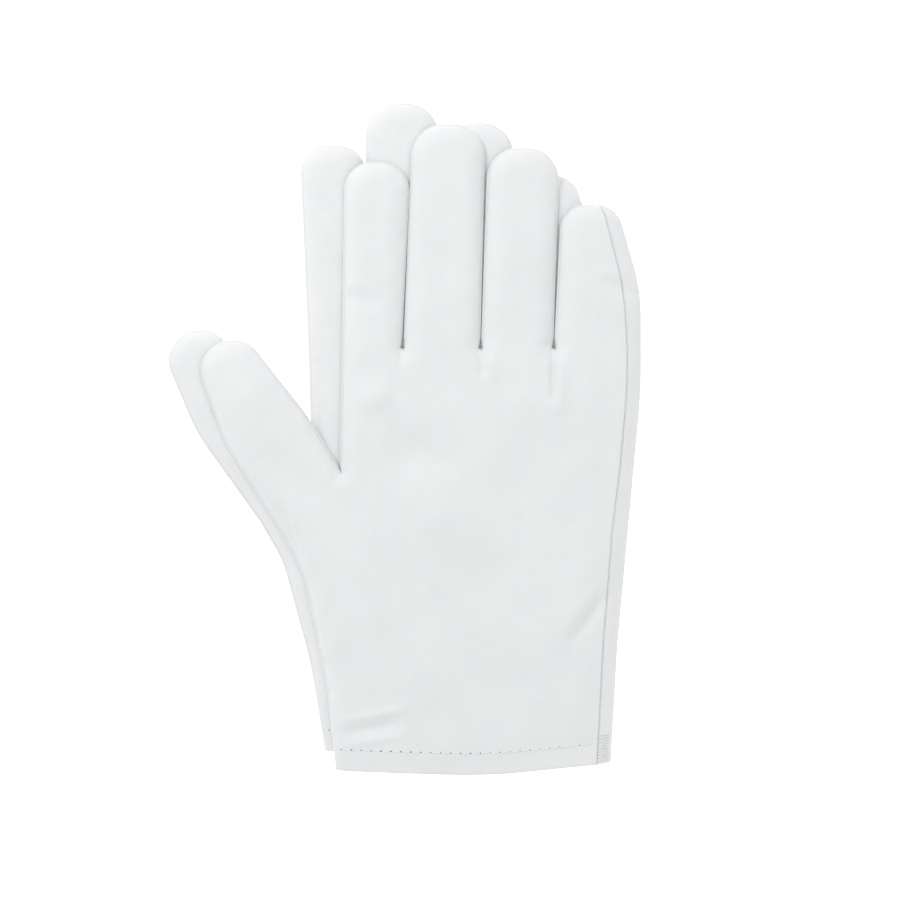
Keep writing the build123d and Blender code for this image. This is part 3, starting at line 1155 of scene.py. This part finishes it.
def loose_object(name, points, faces):
    """A smooth mesh object at the origin from points and faces of any number of corners."""
    mesh = bpy.data.meshes.new(name)
    mesh.from_pydata(points.tolist(), [], faces)
    mesh.polygons.foreach_set("use_smooth", np.ones(len(mesh.polygons), bool))
    obj = bpy.data.objects.new(name, mesh)
    bpy.context.scene.collection.objects.link(obj)
    return obj


def hem_row(side):
    """The hem's stitch row on the glove's upper skin: its points and their normals, in place."""
    glove = sewn_glove(side)
    ids = glove["above"]["palm"][HEM_ROWS]
    points = lay(side, glove["cloth"].points[ids])
    return points, lay_way(side, glove["normals"][ids])


def stitch_span(length, sizes):
    """Where along the hem's row the first stitch starts, and how many stitches fit before the seam."""
    start, end = ROW_START * MM, length - SEAM_RETURN * MM - ROW_END * MM
    return start, int((end - start) / sizes.stitch_pitch)


def stitch_paths(side):
    """One arched path for each stitch: out of the cloth, along its top, and back in."""
    sizes = bpy.context.scene.glove_sizes
    points, normals = hem_row(side)
    length = path_length(points)
    start, count = stitch_span(length, sizes)
    paths = []
    share = np.linspace(0, 1, 9)
    for i in range(count):
        at = start + sizes.stitch_pitch * (i + 0.14 + 0.72 * share)
        base = along(points, at / length)
        normal = along(normals, at / length)
        lift = (np.sin(np.pi * share) ** 0.5 * 0.62 - 0.42) * sizes.thread
        paths.append(base + normal * lift[:, None])
    return paths


def hole_mesh(side):
    """The hem's needle holes: a shallow round dish at each stitch's end, its rim flush with the cloth."""
    sizes = bpy.context.scene.glove_sizes
    points, normals = hem_row(side)
    length = path_length(points)
    start, count = stitch_span(length, sizes)
    at = start + sizes.stitch_pitch * np.arange(count + 1)
    random = np.random.default_rng(sizes.seed + 7)
    slack = 1 - 0.45 * np.clip(at / length * 1.6, 0, 1)
    radius = sizes.thread * (0.62 + 0.3 * random.random(count + 1)) * slack
    centre = along(points, at / length)
    normal = along(normals, at / length)
    way = np.gradient(centre, axis=0)
    way /= np.linalg.norm(way, axis=1, keepdims=True)
    aside = np.cross(normal, way)
    corners = HOLE_CORNERS
    angle = np.linspace(0, 2 * np.pi, corners, endpoint=False)[None, :, None]
    ring = np.cos(angle) * way[:, None] * 1.3 + np.sin(angle) * aside[:, None]
    rim = centre[:, None] + ring * radius[:, None, None] + normal[:, None] * 0.05 * MM
    skirt = rim - normal[:, None] * 0.3 * MM
    middle = (centre + normal * 0.02 * MM)[:, None]
    base = (centre - normal * 0.25 * MM)[:, None]
    stacked = np.concatenate([rim, skirt, middle, base], axis=1)
    i = np.arange(corners)
    j = (i + 1) % corners
    wall = np.stack([i + corners, j + corners, j, i], axis=1)
    top = np.stack([i, j, np.full(corners, 2 * corners)], axis=1)
    bottom = np.stack([j + corners, i + corners, np.full(corners, 2 * corners + 1)], axis=1)
    step = (np.arange(count + 1) * stacked.shape[1])[:, None, None]
    faces = []
    for part in (wall, top, bottom):
        faces += (part[None] + step).reshape(-1, part.shape[1]).tolist()
    return stacked.reshape(-1, 3), faces


def tack_paths(side):
    """The corner tack's thread: a close zigzag over the seam's return, from the hem up, and a line on top."""
    glove = sewn_glove(side)
    grids = glove["above"]["palm"]
    rows = int(TACK_HEIGHT / (bpy.context.scene.glove_sizes.hem / MM / HEM_ROWS))
    ids = grids[: rows + 1, -1 - RETURN_COLUMNS :]
    points = lay(side, glove["cloth"].points[ids])
    normals = lay_way(side, glove["normals"][ids])
    turns = TACK_TURNS
    share = np.linspace(0, 1, turns * 8 + 1)
    side_share = 0.5 - 0.46 * np.cos(share * turns * np.pi)
    row_at, column_at = share * rows, side_share * RETURN_COLUMNS
    low_row = np.minimum(row_at.astype(int), rows - 1)
    low_column = np.minimum(column_at.astype(int), RETURN_COLUMNS - 1)
    a, b = (row_at - low_row)[:, None], (column_at - low_column)[:, None]

    def between(grid):
        """The grid's value at each place, weighed between its cell's four corners."""
        near = grid[low_row, low_column] * (1 - b) + grid[low_row, low_column + 1] * b
        far = grid[low_row + 1, low_column] * (1 - b) + grid[low_row + 1, low_column + 1] * b
        return near * (1 - a) + far * a

    radius = bpy.context.scene.glove_sizes.thread / 2
    zigzag = between(points) + between(normals) * radius * 0.6
    line = points[-1] + normals[-1] * radius * 0.5
    return [zigzag, line]


# ---------------------------------------------------------------- operators

def make_floor(scene):
    """A wide pale floor that glows a little, so it stays even."""
    drop = -scene.glove_sizes.floor_drop
    mesh = bpy.data.meshes.new("floor")
    corners = [(-1, -1), (1, -1), (1, 1), (-1, 1)]
    mesh.from_pydata([(x * FLOOR_REACH, y * FLOOR_REACH, drop) for x, y in corners], [], [(0, 1, 2, 3)])
    floor = bpy.data.objects.new("floor", mesh)
    scene.collection.objects.link(floor)
    matte, _, shader = new_material("pale_floor", {"Roughness": 0.9, "Specular IOR Level": 0.0})
    shader.inputs["Base Color"].default_value = (*scene.glove_colours.floor, 1)
    shader.inputs["Emission Color"].default_value = (1, 1, 1, 1)
    shader.inputs["Emission Strength"].default_value = FLOOR_GLOW
    mesh.materials.append(matte)


def make_lights(scene):
    """A white sky, and round lamps that point at the gloves' middle."""
    world = bpy.data.worlds.new("studio")
    scene.world = world
    world.use_nodes = True
    world.node_tree.nodes["Background"].inputs["Color"].default_value = (1, 1, 1, 1)
    world.node_tree.nodes["Background"].inputs["Strength"].default_value = SKY_GLOW
    centre = (np.array(cad_low) + np.array(cad_high)) / 2
    for name, place, power, width in LAMPS:
        light = bpy.data.lights.new(name, "AREA")
        light.energy = power
        light.shape = "DISK"
        light.size = width
        lamp = bpy.data.objects.new(name, light)
        scene.collection.objects.link(lamp)
        lamp.location = centre + np.array(place)
        lamp.rotation_euler = Vector(-np.array(place)).to_track_quat("-Z", "Y").to_euler()


def make_camera(scene):
    """A long lens straight above, as high as its view's width asks for."""
    lens = bpy.data.cameras.new("camera")
    camera = bpy.data.objects.new("camera", lens)
    scene.collection.objects.link(camera)
    lens.lens = LENS
    lens.sensor_width = SENSOR
    x, y, z = VIEW_MIDDLE
    camera.location = (x, y, z + VIEW_WIDTH * lens.lens / lens.sensor_width)
    lens.clip_start, lens.clip_end = 0.01, 50.0
    scene.camera = camera
    scene.view_settings.view_transform = "Standard"


class GLOVES_OT_stage(Operator):
    """Sets the pale floor, the soft light and the camera straight above the gloves"""

    bl_idname = "gloves.stage"
    bl_label = "Stage"

    def execute(self, context):
        make_floor(context.scene)
        make_lights(context.scene)
        make_camera(context.scene)
        return {"FINISHED"}


class GLOVES_OT_panels(Operator):
    """Sews each glove's palm panel and back panel"""

    bl_idname = "gloves.panels"
    bl_label = "Palm and back panels"

    def execute(self, context):
        for side in SIDES:
            for word in ("palm", "back"):
                obj = sew_piece(side, word + "_panel", panel_knit())
                declare_sheet(side, word, "palm")
        return {"FINISHED"}


class GLOVES_OT_side_edges(Operator):
    """Sews the strips round the palm: its two sides, the thumb's crotch and the webs between the fingers"""

    bl_idname = "gloves.side_edges"
    bl_label = "Side strips and webs"

    def execute(self, context):
        for side in SIDES:
            for name in ("thumb_side_edge", "little_side_edge"):
                sew_piece(side, name, panel_knit())
            for name in WEBS:
                sew_piece(side, name, fourchette_knit())
        return {"FINISHED"}


class GLOVES_OT_hems(Operator):
    """Turns the hems inside the cuffs"""

    bl_idname = "gloves.hems"
    bl_label = "Turned hems"

    def execute(self, context):
        for side in SIDES:
            for name in ("palm_hem", "back_hem"):
                sew_piece(side, name, panel_knit())
        return {"FINISHED"}


class GLOVES_OT_fingers(Operator):
    """Sews each finger's two sides and the strips between them"""

    bl_idname = "gloves.fingers"
    bl_label = "Fingers"

    def execute(self, context):
        strips = {
            "index": ("index_edge", "index_fourchette"),
            "middle": ("middle_fourchettes",),
            "ring": ("ring_fourchettes",),
            "little": ("little_fourchette", "little_edge"),
        }
        for side in SIDES:
            for digit in FINGERS:
                for word in ("palm", "back"):
                    obj = sew_piece(side, f"{digit}_{word}_side", panel_knit(), bends=digit)
                    declare_sheet(side, word, digit)
                for name in strips[digit]:
                    cloth = panel_knit() if name.endswith("_edge") else fourchette_knit()
                    sew_piece(side, name, cloth, bends=digit)
        return {"FINISHED"}


class GLOVES_OT_thumbs(Operator):
    """Sews each thumb's two sides and the gusset round them"""

    bl_idname = "gloves.thumbs"
    bl_label = "Thumbs"

    def execute(self, context):
        for side in SIDES:
            for word in ("palm", "back"):
                obj = sew_piece(side, f"thumb_{word}_side", panel_knit(), bends="thumb")
                declare_sheet(side, word, "thumb")
            sew_piece(side, "thumb_gusset", fourchette_knit(), bends="thumb")
        return {"FINISHED"}


class GLOVES_OT_stitching(Operator):
    """Sews the hems' rows of stitches"""

    bl_idname = "gloves.stitching"
    bl_label = "Hem stitching"

    def execute(self, context):
        for side in SIDES:
            sew_thread(side, "hem_stitching", stitch_paths(side))
            # Each needle hole is a shallow dish coloured with painted shade
            holes = loose_object(f"{side}_hem_needle_holes", *hole_mesh(side))
            holes.data.materials.append(hole_material())
            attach(holes, f"{side}_glove")
        return {"FINISHED"}


class GLOVES_OT_tacks(Operator):
    """Sews the overlocked tack where each side seam meets the hem"""

    bl_idname = "gloves.tacks"
    bl_label = "Corner tacks"

    def execute(self, context):
        for side in SIDES:
            sew_thread(side, "corner_tack", tack_paths(side))
        return {"FINISHED"}


class GLOVES_PT_panel(Panel):
    """Lists the gloves' sizes, colours and steps"""

    bl_idname = "GLOVES_PT_panel"
    bl_label = "Knitted gloves"
    bl_space_type = "VIEW_3D"
    bl_region_type = "UI"
    bl_category = "Gloves"

    def draw(self, context):
        layout = self.layout
        for settings in (context.scene.glove_sizes, context.scene.glove_colours):
            box = layout.box()
            for name in settings.bl_rna.properties.keys():
                if name not in ("rna_type", "name"):
                    box.prop(settings, name)
        for operator in OPERATORS:
            layout.operator(operator.bl_idname)


OPERATORS = (
    GLOVES_OT_stage,
    GLOVES_OT_panels,
    GLOVES_OT_side_edges,
    GLOVES_OT_hems,
    GLOVES_OT_fingers,
    GLOVES_OT_thumbs,
    GLOVES_OT_stitching,
    GLOVES_OT_tacks,
)
CLASSES = (GloveSizes, GloveColours, *OPERATORS, GLOVES_PT_panel)


def register():
    """Registers the add-on's classes and its settings."""
    for made in CLASSES:
        bpy.utils.register_class(made)
    bpy.types.Scene.glove_sizes = PointerProperty(type=GloveSizes)
    bpy.types.Scene.glove_colours = PointerProperty(type=GloveColours)


def unregister():
    """Takes the add-on's classes and settings away."""
    del bpy.types.Scene.glove_colours
    del bpy.types.Scene.glove_sizes
    for made in reversed(CLASSES):
        bpy.utils.unregister_class(made)


def main():
    """Makes the stage and the gloves."""
    register()
    bpy.ops.gloves.stage()
    bpy.ops.gloves.panels()
    bpy.ops.gloves.side_edges()
    bpy.ops.gloves.hems()
    bpy.ops.gloves.fingers()
    bpy.ops.gloves.thumbs()
    bpy.ops.gloves.stitching()
    bpy.ops.gloves.tacks()


if __name__ == "__main__":
    main()
